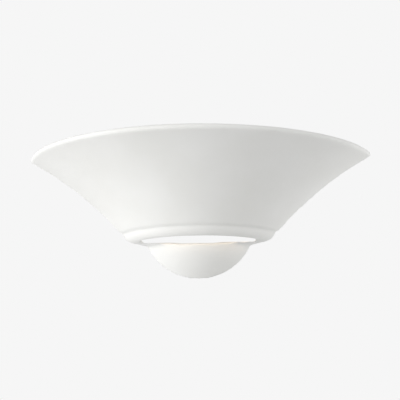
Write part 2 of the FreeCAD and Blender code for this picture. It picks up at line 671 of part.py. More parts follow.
def nipple_washer():
    face = -BRACKET_THICKNESS - NIPPLE_WASHER_THICKNESS
    teeth = star(NIPPLE_WASHER_TEETH, NIPPLE_WASHER_RADIUS, NIPPLE_WASHER_RADIUS - NIPPLE_TOOTH,
                 along_bulb(face), X_AXIS, NIPPLE_WASHER_THICKNESS)
    bore = rod(NIPPLE_RADIUS + NIPPLE_GAP, along_bulb(face), along_bulb(-BRACKET_THICKNESS))
    return teeth.cut(bore)


def nipple_locknut():
    face = -BRACKET_THICKNESS - NIPPLE_WASHER_THICKNESS
    start = along_bulb(face - LOCKNUT_THICKNESS)
    nut = hexagon(LOCKNUT_ACROSS_FLATS, start, X_AXIS, LOCKNUT_THICKNESS)
    return nut.cut(rod(NIPPLE_RADIUS + NIPPLE_GAP, start, along_bulb(face)))


# ---- lampholder
def wave(start, end, mean, swing, turns_from):
    """Points of a rounded thread form as (along, radius) pairs."""
    steps = max(2, int(round((end - start) / THREAD_PITCH * THREAD_POINTS)))
    points = []
    for i in range(steps + 1):
        along = start + (end - start) * i / steps
        phase = 2 * math.pi * (along - turns_from) / THREAD_PITCH
        points.append((along, mean + swing * math.cos(phase)))
    return points


def threaded_sleeve(start, end, mean, swing, thickness, turns_from):
    """A thin sleeve rolled into the rounded thread of a bulb cap."""
    inner = wave(start, end, mean - thickness / 2, swing, turns_from)
    outer = wave(start, end, mean + thickness / 2, swing, turns_from)
    curves = []
    for points in (inner, outer):
        curve = Part.BSplineCurve()
        curve.interpolate([along_bulb(h, 0, radius) for h, radius in points])
        curves.append(curve.toShape())
    ends = [line(curves[0].Vertexes[i].Point, curves[1].Vertexes[i].Point) for i in (0, 1)]
    return turned_face(Part.__sortEdges__(curves + ends), along_bulb(0), X_AXIS)


def holder_cap():
    """The back shell of the holder, domed from its boss to the full width."""
    boss = along_bulb(HOLDER_BOSS_LENGTH, 0, HOLDER_BOSS_RADIUS)
    shoulder = along_bulb(CAP_STEP - INSERT_STEP, 0, HOLDER_RADIUS)
    bulge = (boss + shoulder) * 0.5 + FreeCAD.Vector(-1, 0, 1) * CAP_BULGE
    outer = [line(along_bulb(0, 0, NIPPLE_RADIUS + NIPPLE_GAP), along_bulb(0, 0, HOLDER_BOSS_RADIUS))]
    outer += [line(along_bulb(0, 0, HOLDER_BOSS_RADIUS), boss)]
    outer += [Part.Arc(boss, bulge, shoulder).toShape()]
    outer += [line(shoulder, along_bulb(CAP_LENGTH, 0, HOLDER_RADIUS))]
    seat = INSERT_RADIUS + INSERT_GAP
    inside = [(CAP_LENGTH, HOLDER_RADIUS), (CAP_LENGTH, seat), (CAP_STEP, seat),
              (CAP_STEP, seat - CAP_SEAT_WIDTH), (CAP_FLOOR, HOLDER_BOSS_RADIUS + CAP_THROAT),
              (CAP_FLOOR, NIPPLE_RADIUS + NIPPLE_GAP), (0, NIPPLE_RADIUS + NIPPLE_GAP)]
    points = [along_bulb(h, 0, radius) for h, radius in inside]
    inner = [line(a, b) for a, b in zip(points, points[1:])]
    return turned_face(Part.__sortEdges__(outer + inner), along_bulb(0), X_AXIS)


def holder_barrel():
    """The front shell of the holder, with finger grips and the ledge that clamps the insert."""
    start, end = CAP_LENGTH, CAP_LENGTH + BARREL_LENGTH
    ledge_end = INSERT_FACE + HOLDER_WALL / 2
    lip = HOLDER_WALL / 4
    outline = [(start, BARREL_BORE), (start, HOLDER_RADIUS), (end - lip, HOLDER_RADIUS),
               (end, HOLDER_RADIUS - lip), (end, BARREL_BORE), (ledge_end, BARREL_BORE),
               (ledge_end, LEDGE_RADIUS), (INSERT_FACE, LEDGE_RADIUS), (INSERT_FACE, BARREL_BORE)]
    barrel = turned(outline, along_bulb(0), X_AXIS)
    grip_start, grip_end = start + HOLDER_WALL, start + HOLDER_WALL + BARREL_LENGTH / 2
    corner = HOLDER_RADIUS + BARREL_GRIP_CORNER
    ring = star(BARREL_GRIPS, corner, HOLDER_RADIUS - BARREL_GRIP_DEPTH, along_bulb(grip_start), X_AXIS,
                grip_end - grip_start)
    waste = rod(corner + PAST, along_bulb(grip_start), along_bulb(grip_end)).cut(ring)
    return barrel.cut(waste)


def holder_insert():
    """The porcelain disc between the terminals and the contacts."""
    disc = rod(INSERT_RADIUS, along_bulb(CAP_STEP), along_bulb(INSERT_FACE))
    for side in (-1, 1):
        out = side * CONTACT_POST_OUT
        ends = along_bulb(CAP_STEP - PAST, out), along_bulb(INSERT_FACE + PAST, out)
        disc = disc.cut(rod(CONTACT_POST_RADIUS + TAPPED_HOLE_GAP, *ends))
    return disc


def contact_posts():
    return [rod(CONTACT_POST_RADIUS, along_bulb(CAP_STEP, side * CONTACT_POST_OUT),
                along_bulb(INSERT_FACE, side * CONTACT_POST_OUT)) for side in (-1, 1)]


def screw_shell():
    """The threaded brass shell with its flange and the tab that reaches the neutral post."""
    start = INSERT_FACE
    sleeve = threaded_sleeve(start, SHELL_END, SHELL_MEAN_RADIUS, THREAD_WAVE, SHELL_THICKNESS, start)
    flange_end = start + SHELL_FLANGE_THICKNESS
    flange = rod(SHELL_FLANGE_RADIUS, along_bulb(start), along_bulb(flange_end))
    flange = flange.cut(rod(SHELL_FLANGE_BORE, along_bulb(start), along_bulb(flange_end)))
    half_width = CONTACT_WIDTH / 2
    reach = CONTACT_POST_OUT - half_width
    tab = block((BRACKET_FACE_X + start, BRACKET_FACE_X + flange_end),
                (BULB_OUT + reach, BULB_OUT + SHELL_FLANGE_BORE + SHELL_FLANGE_WIDTH / 2),
                (BULB_UP - half_width, BULB_UP + half_width))
    return sleeve.fuse(flange).fuse(tab).removeSplitter()


def centre_contact():
    """A sprung strip from the live post up to the tip of the bulb."""
    post = -CONTACT_POST_OUT
    half_width = CONTACT_WIDTH / 2
    top = CONTACT_RISE
    run = [(post - half_width + CONTACT_CURL, 0), (post + half_width - CONTACT_CURL, 0),
           (-half_width, top - CONTACT_THICKNESS), (half_width, top - CONTACT_THICKNESS),
           (half_width + CONTACT_CURL, top / 2)]
    lower = [along_bulb(INSERT_FACE + rise, out, -half_width) for out, rise in run]
    upper = [p + X_AXIS * CONTACT_THICKNESS for p in reversed(lower)]
    outline = lower + upper + lower[:1]
    return Part.Face(Part.makePolygon(outline)).extrude(Z_AXIS * CONTACT_WIDTH)


def terminal_span(side):
    mid = BULB_OUT + side * CONTACT_POST_OUT
    return mid - TERMINAL_WIDTH / 2, mid + TERMINAL_WIDTH / 2


def holder_terminals():
    terminals = []
    start, end = CAP_STEP - TERMINAL_LENGTH, CAP_STEP
    half_height = TERMINAL_HEIGHT / 2
    for side in (-1, 1):
        body = block((BRACKET_FACE_X + start, BRACKET_FACE_X + end), terminal_span(side),
                     (BULB_UP - half_height, BULB_UP + half_height))
        out = side * CONTACT_POST_OUT
        bore = along_bulb(start - PAST, out), along_bulb(end - TERMINAL_FLOOR, out)
        body = body.cut(rod(TERMINAL_BORE_RADIUS, *bore))
        middle = (start + end) / 2
        drill = rod(TERMINAL_SCREW_RADIUS + TAPPED_HOLE_GAP, along_bulb(middle, out),
                    along_bulb(middle, out, half_height + PAST))
        terminals.append(body.cut(drill))
    return terminals


def holder_terminal_screws():
    middle = CAP_STEP - TERMINAL_LENGTH / 2
    half_height = TERMINAL_HEIGHT / 2
    shank = half_height - TERMINAL_BORE_RADIUS
    return [screw(along_bulb(middle, side * CONTACT_POST_OUT, half_height), Z_AXIS,
                  TERMINAL_SCREW_HEAD_RADIUS, TERMINAL_SCREW_RADIUS, TERMINAL_SCREW_RADIUS, shank)
            for side in (-1, 1)]


# ---- bulb
def globe(inset, start):
    """The bulb's glass as a solid: neck, blend and globe, drawn in by the inset."""
    radius, neck = GLOBE_RADIUS - inset, GLOBE_NECK_RADIUS - inset
    blend = GLOBE_NECK_BLEND + inset
    blend_h = GLOBE_CENTRE - math.sqrt((radius + blend) ** 2 - (neck + blend) ** 2)
    centre = along_bulb(GLOBE_CENTRE)
    blend_centre = along_bulb(blend_h, 0, neck + blend)
    neck_end = along_bulb(blend_h, 0, neck)
    toward = (centre - blend_centre).normalize()
    shoulder = blend_centre + toward * blend
    nose = along_bulb(GLOBE_CENTRE + radius)
    foot = along_bulb(start, 0, neck)
    edges = [line(along_bulb(start), foot), line(foot, neck_end)]
    edges += [arc_about(blend_centre, neck_end, shoulder)]
    crown = along_bulb(GLOBE_CENTRE, 0, radius)
    edges += [arc_about(centre, shoulder, crown), arc_about(centre, crown, nose)]
    edges += [line(nose, along_bulb(start))]
    return turned_face(edges, along_bulb(0), X_AXIS)


def bulb_glass():
    return globe(0, GLASS_START).cut(globe(GLASS_THICKNESS, GLASS_START - PAST))


def bulb_cap():
    return threaded_sleeve(CAP_SLEEVE_START, CAP_SLEEVE_END, CAP_MEAN_RADIUS, CAP_WAVE, CAP_THICKNESS,
                           INSERT_FACE)


def cap_insulator():
    """The black glass cone between the cap's sleeve and its tip."""
    start, end = BULB_TIP + TIP_HEIGHT, CAP_SLEEVE_START
    foot = CAP_MEAN_RADIUS - CAP_WAVE - CAP_THICKNESS
    outline = [(start, 0), (start, TIP_RADIUS), (end, foot + CAP_WAVE), (end, 0)]
    return turned(outline, along_bulb(0), X_AXIS)


def bulb_tip():
    outline = [(BULB_TIP, 0), (BULB_TIP, TIP_RADIUS / 2), (BULB_TIP + TIP_HEIGHT / 2, TIP_RADIUS),
               (BULB_TIP + TIP_HEIGHT, TIP_RADIUS), (BULB_TIP + TIP_HEIGHT, 0)]
    return turned(outline, along_bulb(0), X_AXIS)


def bulb_stem():
    """The flared glass stem that closes the neck and carries the wires."""
    foot = GLOBE_NECK_RADIUS - GLASS_THICKNESS
    start, end = GLASS_START, GLASS_START + STEM_LENGTH
    outline = [(start, 0), (start, foot), (start + STEM_EDGE, foot),
               (start + STEM_SKIRT, STEM_RADIUS + STEM_EDGE), (end - STEM_PRESS, STEM_RADIUS),
               (end - STEM_EDGE, STEM_RADIUS), (end, STEM_RADIUS - STEM_EDGE), (end, 0)]
    return turned(outline, along_bulb(0), X_AXIS)


def filament_ends():
    return [along_bulb(GLOBE_CENTRE, side * FILAMENT_SPREAD) for side in (-1, 1)]


def support_wires():
    root = GLASS_START + STEM_LENGTH
    wires = []
    for side, end in zip((-1, 1), filament_ends()):
        start = along_bulb(root, side * (STEM_RADIUS - STEM_EDGE) / 2)
        wires.append(rod(SUPPORT_RADIUS, start, end))
    return wires


def bulb_filament():
    """The filament, one shallow arc between the ends of its support wires."""
    ends = filament_ends()
    middle = along_bulb(GLOBE_CENTRE + FILAMENT_SPREAD / 2)
    path = Part.Wire([Part.Arc(ends[0], middle, ends[1]).toShape()])
    return sweep_round(path, FILAMENT_RADIUS)


# ---- terminal block
def terminal_block():
    half_width = BLOCK_WIDTH / 2
    rise = (BLOCK_FOOT_Z, BLOCK_TOP_Z)
    body = block((BLOCK_X - half_width, BLOCK_X + half_width), (PLATE_FACE, PLATE_FACE + BLOCK_BASE), rise)
    half_hump = (BLOCK_PITCH - BLOCK_HUMP_GAP) / 2
    for x in WAY_X:
        hump = block((x - half_hump, x + half_hump), (PLATE_FACE, PLATE_FACE + BLOCK_DEPTH), rise)
        front = -PLATE_FACE - BLOCK_DEPTH
        edges = [e for e in hump.Edges if abs(e.CenterOfMass.y - front) < SAME]
        body = body.fuse(hump.makeFillet(BLOCK_EDGE_ROUND, edges))
    for x in WAY_X:
        ends = [place(x, TUBE_Y, rise[0] + TUBE_END_SETBACK), place(x, TUBE_Y, rise[1] - TUBE_END_SETBACK)]
        body = body.cut(rod(TUBE_RADIUS + TUBE_GAP, *ends))
        port = place(x, TUBE_Y, rise[0] - PAST), place(x, TUBE_Y, rise[1] + PAST)
        body = body.cut(rod(WIRE_PORT_RADIUS, *port))
        for z in clamp_screw_heights():
            drill = rod(CLAMP_SCREW_HEAD_RADIUS + TUBE_GAP, place(x, TUBE_Y, z), place(x, FAR, z))
            body = body.cut(drill)
    for x in BLOCK_SCREW_X:
        seat = place(x, PLATE_FACE + BLOCK_BASE, BLOCK_MID_Z)
        body = body.cut(rod(BLOCK_SCREW_RADIUS + TUBE_GAP, place(x, 0, BLOCK_MID_Z), seat))
        well = rod(BLOCK_SCREW_HEAD_RADIUS + 2 * TUBE_GAP, seat, place(x, FAR, BLOCK_MID_Z))
        body = body.cut(well)
    return body.removeSplitter()


def clamp_screw_heights():
    return [BLOCK_MID_Z - CLAMP_SCREW_SPREAD / 2, BLOCK_MID_Z + CLAMP_SCREW_SPREAD / 2]


def terminal_tubes():
    tubes = []
    low, high = BLOCK_FOOT_Z + TUBE_END_SETBACK, BLOCK_TOP_Z - TUBE_END_SETBACK
    for x in WAY_X:
        ends = place(x, TUBE_Y, low), place(x, TUBE_Y, high)
        tube = rod(TUBE_RADIUS, *ends).cut(rod(TUBE_BORE_RADIUS, *ends))
        for z in clamp_screw_heights():
            drill = rod(CLAMP_SCREW_RADIUS + TAPPED_HOLE_GAP, place(x, TUBE_Y, z), place(x, 2 * TUBE_Y, z))
            tube = tube.cut(drill)
        tubes.append(tube)
    return tubes


def clamp_screws():
    """The six wire clamps. Each screw stops on its wire and its head sits down in the block."""
    top = PLATE_FACE + BLOCK_DEPTH - CLAMP_SCREW_SINK
    seat = TUBE_Y + TUBE_RADIUS
    shank = TUBE_RADIUS - LEAD_RADIUS - LEAD_FIT
    sizes = CLAMP_SCREW_HEAD_RADIUS, top - seat, CLAMP_SCREW_RADIUS, shank
    return [screw(place(x, seat, z), ROOMWARD, *sizes) for x in WAY_X for z in clamp_screw_heights()]


def block_screws():
    seat = PLATE_FACE + BLOCK_BASE
    shank = seat - SCREW_END_SETBACK
    return [screw(place(x, seat, BLOCK_MID_Z), ROOMWARD, BLOCK_SCREW_HEAD_RADIUS, BLOCK_SCREW_HEAD_HEIGHT,
                  BLOCK_SCREW_RADIUS, shank) for x in BLOCK_SCREW_X]


# ---- earth point
def earth_washer():
    origin = place(EARTH_X, PLATE_FACE, EARTH_Z)
    teeth = star(EARTH_WASHER_TEETH, EARTH_TAG_RADIUS, EARTH_TAG_RADIUS - EARTH_TOOTH, origin,
                 ROOMWARD, EARTH_WASHER_THICKNESS)
    return teeth.cut(rod(M4_RADIUS + TUBE_GAP, origin, origin + ROOMWARD * EARTH_WASHER_THICKNESS))


def earth_tag():
    """A ring tag with a crimped ferrule that points to the terminal block."""
    back, front = EARTH_TAG_BACK, EARTH_TAG_BACK + EARTH_TAG_THICKNESS
    ends = place(EARTH_X, back, EARTH_Z), place(EARTH_X, front, EARTH_Z)
    tag = rod(EARTH_TAG_RADIUS, *ends)
    mouth = EARTH_X - EARTH_TAG_REACH
    tongue = block((mouth + EARTH_FERRULE_LENGTH / 2, EARTH_X), (back, front),
                   (EARTH_Z - EARTH_FERRULE_RADIUS, EARTH_Z + EARTH_FERRULE_RADIUS))
    ferrule = place(mouth, FERRULE_OUT, EARTH_Z), place(mouth + EARTH_FERRULE_LENGTH, FERRULE_OUT, EARTH_Z)
    tag = tag.fuse(tongue).fuse(rod(EARTH_FERRULE_RADIUS, *ferrule))
    tag = tag.cut(rod(LEAD_RADIUS + LEAD_FIT, place(mouth - PAST, FERRULE_OUT, EARTH_Z), ferrule[1]))
    return tag.cut(rod(M4_RADIUS + TUBE_GAP, *ends)).removeSplitter()


def earth_screw():
    seat = EARTH_TAG_BACK + EARTH_TAG_THICKNESS
    return screw(place(EARTH_X, seat, EARTH_Z), ROOMWARD, M4_HEAD_RADIUS, M4_HEAD_HEIGHT, M4_RADIUS,
                 seat - SCREW_END_SETBACK)


# ---- leads
def routed(points):
    """Straight runs joined by tangent arcs, each as large as its two runs allow."""
    edges = []
    start = points[0]
    for before, corner, after in zip(points, points[1:], points[2:]):
        into, away = corner - before, after - corner
        turn = into.getAngle(away)
        trim = LEAD_BEND * min(into.Length, away.Length)
        a = corner - into.normalize() * trim
        b = corner + away.normalize() * trim
        radius = trim / math.tan(turn / 2)
        inward = (a + b) * 0.5 - corner
        centre_distance = math.hypot(trim, radius)
        middle = corner + inward.normalize() * (centre_distance - radius)
        edges += [line(start, a), Part.Arc(a, middle, b).toShape()]
        start = b
    edges.append(line(start, points[-1]))
    return Part.Wire(edges)


def sweep_round(path, radius):
    edge = path.Edges[0]
    start = edge.valueAt(edge.FirstParameter)
    tangent = edge.tangentAt(edge.FirstParameter)
    ring = Part.Wire([Part.Circle(start, tangent, radius).toShape()])
    return path.makePipeShell([ring], True, False)


def lead(name, points):
    path = routed(points)
    solid = sweep_round(path, LEAD_RADIUS)
    expected = math.pi * LEAD_RADIUS ** 2 * path.Length
    print(name, "length", round(path.Length, 1), "volume ratio", round(solid.Volume / expected, 4))
    return solid


def way_start(way, rise):
    """The gripped end of a lead in a way of the block, and the corner where it first bends."""
    x = WAY_X[way]
    gripped = BLOCK_TOP_Z - LEAD_GRIP - TUBE_END_SETBACK
    return [place(x, TUBE_Y, gripped), place(x, TUBE_Y, BLOCK_TOP_Z + rise)]


def holder_end(side):
    """The last points of a lead: straight through the nipple, then across to its terminal."""
    near, far = side * LEAD_SPREAD / 2, side * CONTACT_POST_OUT
    terminal = CAP_STEP - TERMINAL_LENGTH
    turn_in, end = terminal - LEAD_CLEAR_OF_TERMINAL, terminal + LEAD_IN_TERMINAL
    return [along_bulb(-NIPPLE_BEHIND - LEAD_RUN_OUT, near), along_bulb(CAP_FLOOR, near),
            along_bulb(turn_in, far), along_bulb(end, far)]


def live_lead():
    route = [place(-36, 9.5, -12.5), place(-55, 12, -14), place(-70, 17, -13), place(-78, 25, -8),
             place(-81, 33, 0)]
    return lead("live_lead", way_start(0, 3) + route + holder_end(-1))


def neutral_lead():
    route = [place(-30, 13, -10), place(-53, 16, -13), place(-67, 21, -13), place(-74, 30, -8.5),
             place(-78, 38, -0.5)]
    return lead("neutral_lead", way_start(1, 5.5) + route + holder_end(1))


def earth_lead():
    mouth = EARTH_X - EARTH_TAG_REACH
    route = [place(9, 7, 8), place(18, FERRULE_OUT + 0.6, EARTH_Z + 0.4)]
    route += [place(mouth - 3, FERRULE_OUT, EARTH_Z), place(mouth + LEAD_GRIP, FERRULE_OUT, EARTH_Z)]
    return lead("earth_lead", way_start(2, 11) + route)


def heat_sleeves():
    """Two sleeves over the leads where they pass through the nipple."""
    end = NIPPLE_INSIDE - LEAD_RADIUS
    sleeves = []
    for side in (-1, 1):
        out = side * LEAD_SPREAD / 2
        ends = along_bulb(end - SLEEVE_LENGTH, out), along_bulb(end, out)
        sleeves.append(rod(SLEEVE_RADIUS, *ends).cut(rod(LEAD_RADIUS + LEAD_FIT, *ends)))
    return sleeves


NODES = {
    "ceramic_shade": ceramic_shade,
    "shade_studs": shade_studs,
    "shade_washers": shade_washers,
    "left_shade_nut": lambda: shade_nut(-1),
    "right_shade_nut": lambda: shade_nut(1),
    "wall_plate": wall_plate,
    "cable_grommet": cable_grommet,
    "holder_bracket": holder_bracket,
    "bracket_screws": bracket_screws,
    "holder_nipple": holder_nipple,
    "nipple_washer": nipple_washer,
    "nipple_locknut": nipple_locknut,
    "holder_cap": holder_cap,
    "holder_barrel": holder_barrel,
    "holder_insert": holder_insert,
    "contact_posts": contact_posts,
    "screw_shell": screw_shell,
    "centre_contact": centre_contact,
    "holder_terminals": holder_terminals,
    "holder_terminal_screws": holder_terminal_screws,
    "bulb_glass": bulb_glass,
    "bulb_cap": bulb_cap,
    "cap_insulator": cap_insulator,
    "bulb_tip": bulb_tip,
    "bulb_stem": bulb_stem,
    "support_wires": support_wires,
    "bulb_filament": bulb_filament,
    "terminal_block": terminal_block,
    "terminal_tubes": terminal_tubes,
    "clamp_screws": clamp_screws,
    "block_screws": block_screws,
    "earth_washer": earth_washer,
    "earth_tag": earth_tag,
    "earth_screw": earth_screw,
    "live_lead": live_lead,
    "neutral_lead": neutral_lead,
    "earth_lead": earth_lead,
    "heat_sleeves": heat_sleeves,
}


def main():
    for name, make in NODES.items():
        made = make()
        shape = Part.makeCompound(made) if isinstance(made, list) else made
        solids = shape.Solids
        sound = all(s.isValid() and s.Volume > 0 for s in solids)
        print(name, "solids", len(solids), "volume", round(shape.Volume, 1), "ok" if sound else "NOT SOUND")
        if len(solids) == 1:
            shape = solids[0]
        shape.exportStep("parts/" + name + ".step")


main()
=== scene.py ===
"""Looks of the uplighter wall sconce: its finishes, the casting's soft skin, light and camera."""

import json
import math

import bpy
import numpy as np
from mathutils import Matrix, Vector, noise

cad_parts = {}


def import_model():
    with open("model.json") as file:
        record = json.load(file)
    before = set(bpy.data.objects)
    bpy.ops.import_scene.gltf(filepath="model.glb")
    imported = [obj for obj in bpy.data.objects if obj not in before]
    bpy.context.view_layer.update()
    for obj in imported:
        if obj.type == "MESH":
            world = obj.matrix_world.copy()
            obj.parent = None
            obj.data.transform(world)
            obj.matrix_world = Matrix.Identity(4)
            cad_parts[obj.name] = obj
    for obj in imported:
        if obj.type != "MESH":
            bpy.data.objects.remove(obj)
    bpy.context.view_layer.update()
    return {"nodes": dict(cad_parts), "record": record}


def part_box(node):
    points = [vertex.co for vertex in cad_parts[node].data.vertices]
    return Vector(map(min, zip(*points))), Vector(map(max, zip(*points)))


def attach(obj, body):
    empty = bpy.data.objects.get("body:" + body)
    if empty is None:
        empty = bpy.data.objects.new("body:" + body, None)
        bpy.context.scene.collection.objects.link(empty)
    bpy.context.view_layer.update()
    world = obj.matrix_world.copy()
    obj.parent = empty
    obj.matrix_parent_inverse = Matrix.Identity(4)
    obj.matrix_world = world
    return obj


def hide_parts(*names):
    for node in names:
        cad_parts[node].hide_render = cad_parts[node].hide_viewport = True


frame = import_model()

# ---- camera: the photograph's frame, in pixels, and the point at its middle, in metres
FRAME_PX = 400
FOCAL_PX = 1500
SENSOR_MM = 36.0
CAMERA_AZIMUTH = 5.39
CAMERA_ELEVATION = -11.05
CAMERA_DISTANCE = 1.6106
CAMERA_TARGET = Vector((0.00097, 0.0, -0.008))

# ---- surroundings: what the eye sees of them, the light they give, and the floor
BACKGROUND = 0.9216
WORLD_LIGHT = 0.40
FLOOR_Z = -1.45
FLOOR_SIZE = 24.0
FLOOR_REACH = (1.5, 5.0)
FLOOR_LIFT = (0.22, 0.54)

# ---- lamps, in degrees, metres and watts; those of the slot stand in an arc just inside it
LAMPS = {
    "key": {"azimuth": -90, "elevation": -15, "distance": 1.9, "size": 1.0, "watts": 16.0},
    "front": {"azimuth": -25, "elevation": 12, "distance": 1.9, "size": 1.0, "watts": 21.3},
    "right": {"azimuth": 110, "elevation": 0, "distance": 1.9, "size": 1.0, "watts": 20},
}
SLOT_GLOW = {
    "turns": (-22, -6, 10, 26, 40), "radius": 0.0785, "height": -0.0535, "tilt": 41,
    "size": (0.020, 0.004), "watts": 0.0006, "colour": (1.0, 0.78, 0.56),
}

# ---- bulb: its centre, the distances over which it fades from there, and its strength
BULB_CENTRE = Vector((0.0275, -0.038, 0.006))
BULB_FADE = (0.018, 0.040)
BULB_GLOW = 0.68

# ---- finishes: the middle of a noise, and where the earth lead turns from green to yellow
NOISE_MIDDLE = (0.3, 0.7)
EARTH_BAND = (0.28, 0.34)

# ---- casting: cell of its even mesh, and smoothing by place, with the most it may move a point
AXIS_BEHIND_WALL = 0.043
CELL = 0.001
PASSES = {"all": 8, "rim": 16, "sill": 70}
MOST_MOVED = {"all": 0.0008, "rim": 0.0010, "sill": 0.0020}
SMOOTHING_STEP = 0.5
RIM_BAND = (0.0325, 0.0365)
SILL_MIDDLE = (0.0, -0.0255, -0.0595)
SILL_REACH = (0.058, 0.0085, 0.0075)
SILL_FADE = 2.0
SILL_RADII = (0.0745, 0.078)
EAR_REACH = 0.0115
BACK_KEPT = 0.0002
TINY = 1e-9
# waves of hand-finished clay go inwards, from nothing to twice this depth
WAVE_DEPTH = 0.00012
WAVE_LENGTH = 0.034


def direction(azimuth, elevation):
    """Unit vector from the object towards a viewer or lamp; azimuth 0 is straight in front."""
    a, e = math.radians(azimuth), math.radians(elevation)
    return Vector((math.sin(a) * math.cos(e), -math.cos(a) * math.cos(e), math.sin(e)))


# ---- finishes
class Finish:
    """A procedural material in object coordinates, with short ways to add to it."""

    def __init__(self, name, colour, roughness, **sockets):
        self.material = bpy.data.materials.new(name)
        self.material.use_nodes = True
        self.tree = self.material.node_tree
        self.shader = self.tree.nodes["Principled BSDF"]
        self.shader.inputs["Base Color"].default_value = (*colour, 1.0)
        self.shader.inputs["Roughness"].default_value = roughness
        for socket, value in sockets.items():
            self.shader.inputs[socket.replace("_", " ")].default_value = value
        self.place = self.tree.nodes.new("ShaderNodeTexCoord")
        self.normal = None

    def node(self, kind, links=(), **values):
        made = self.tree.nodes.new("ShaderNode" + kind)
        for name, value in values.items():
            setattr(made, name, value)
        for socket, source in dict(links).items():
            if isinstance(source, bpy.types.NodeSocket):
                self.tree.links.new(source, made.inputs[socket])
            else:
                made.inputs[socket].default_value = source
        return made

    def place_scaled(self, stretch):
        links = {"Vector": self.place.outputs["Object"], "Scale": stretch}
        return self.node("Mapping", links).outputs[0]

    def noise(self, scale, detail=3.0, stretch=(1, 1, 1), distortion=0.0):
        links = {"Vector": self.place_scaled(stretch), "Scale": scale, "Detail": detail,
                 "Distortion": distortion}
        return self.node("TexNoise", links).outputs["Fac"]

    def cells(self, scale):
        links = {"Vector": self.place.outputs["Object"], "Scale": scale}
        return self.node("TexVoronoi", links).outputs["Distance"]

    def between(self, value, low, high, out_low=0.0, out_high=1.0):
        links = {"Value": value, "From Min": low, "From Max": high,
                 "To Min": out_low, "To Max": out_high}
        return self.node("MapRange", links).outputs["Result"]

    def mixed(self, factor, a, b):
        made = self.node("Mix", data_type="RGBA")
        for socket, source in zip((made.inputs[0], made.inputs[6], made.inputs[7]), (factor, a, b)):
            if isinstance(source, bpy.types.NodeSocket):
                self.tree.links.new(source, socket)
            elif isinstance(source, float):
                socket.default_value = source
            else:
                socket.default_value = (*source, 1.0)
        return made.outputs[2]

    def colour(self, source):
        self.tree.links.new(source, self.shader.inputs["Base Color"])

    def mottled(self, value, low, high, a, b):
        """Colour that goes from a to b as the value goes from low to high."""
        self.colour(self.mixed(self.between(value, low, high), a, b))

    def worn(self, value, smooth, rough):
        """Roughness that goes from smooth to rough over the middle of a noise."""
        source = self.between(value, *NOISE_MIDDLE, smooth, rough)
        self.tree.links.new(source, self.shader.inputs["Roughness"])

    def bump(self, height, strength, distance):
        links = {"Height": height, "Strength": strength, "Distance": distance}
        if self.normal:
            links["Normal"] = self.normal
        self.normal = self.node("Bump", links).outputs["Normal"]
        self.tree.links.new(self.normal, self.shader.inputs["Normal"])


def ceramic():
    """Unglazed white ceramic: chalky grain, faint clouding, small specks and sponge marks."""
    made = Finish("ceramic", (0.82, 0.82, 0.80), 0.72)
    made.shader.inputs["Specular IOR Level"].default_value = 0.25
    clouds = made.between(made.noise(14, 4), 0.35, 0.65)
    base = made.mixed(clouds, (0.805, 0.805, 0.782), (0.835, 0.835, 0.818))
    specks = made.between(made.cells(420), 0.05, 0.09, 0.35, 0.0)
    made.colour(made.mixed(specks, base, (0.60, 0.57, 0.50)))
    made.worn(made.noise(60, 3), 0.66, 0.80)
    made.bump(made.noise(28, 2), 0.35, 0.0006)
    made.bump(made.noise(260, 3, (1, 1, 0.45)), 0.22, 0.0003)
    made.bump(made.noise(1500, 2), 0.25, 0.0001)
    return made


def zinc_steel():
    """Zinc-plated sheet: rolling grain, a faint iridescent passivation and dull patches."""
    made = Finish("zinc_steel", (0.62, 0.62, 0.60), 0.36, Metallic=1.0)
    tint = made.between(made.noise(22, 3, distortion=0.6), 0.35, 0.65)
    base = made.mixed(tint, (0.60, 0.62, 0.64), (0.66, 0.63, 0.55))
    spangle = made.between(made.cells(160), 0.0, 0.6, 0.10, 0.0)
    made.colour(made.mixed(spangle, base, (0.80, 0.80, 0.80)))
    made.worn(made.noise(45, 4, (0.25, 1, 1)), 0.28, 0.46)
    made.bump(made.noise(900, 2, (0.05, 1, 1)), 0.12, 0.0001)
    return made


def brass():
    """Turned brass, browned a little in patches."""
    made = Finish("brass", (0.72, 0.50, 0.20), 0.30, Metallic=1.0)
    tarnish = made.between(made.noise(120, 4), 0.45, 0.75, 0.0, 0.7)
    made.colour(made.mixed(tarnish, (0.75, 0.54, 0.24), (0.42, 0.27, 0.11)))
    made.worn(made.noise(300, 3), 0.22, 0.42)
    made.bump(made.noise(1800, 2), 0.10, 0.00005)
    return made


def nickel():
    """Satin nickel plate."""
    made = Finish("nickel", (0.66, 0.64, 0.60), 0.28, Metallic=1.0)
    made.worn(made.noise(200, 3), 0.20, 0.38)
    made.mottled(made.noise(70, 3), 0.4, 0.7, (0.68, 0.66, 0.62), (0.58, 0.55, 0.50))
    made.bump(made.noise(1500, 2), 0.08, 0.00005)
    return made


def black_phenolic():
    """Moulded black phenolic with faint flow marks and an uneven polish."""
    made = Finish("black_phenolic", (0.022, 0.020, 0.019), 0.34)
    flow = made.between(made.noise(35, 5, distortion=1.5), 0.4, 0.7)
    made.colour(made.mixed(flow, (0.020, 0.018, 0.017), (0.042, 0.036, 0.032)))
    made.worn(made.noise(160, 4), 0.26, 0.44)
    made.bump(made.noise(700, 3), 0.10, 0.0001)
    return made


def porcelain():
    """Glazed porcelain with a slight waviness under its coat."""
    made = Finish("porcelain", (0.80, 0.79, 0.75), 0.18)
    made.shader.inputs["Coat Weight"].default_value = 0.6
    made.shader.inputs["Coat Roughness"].default_value = 0.06
    made.mottled(made.noise(150, 3), 0.4, 0.7, (0.82, 0.81, 0.77), (0.76, 0.74, 0.69))
    made.bump(made.noise(180, 2), 0.15, 0.0002)
    return made


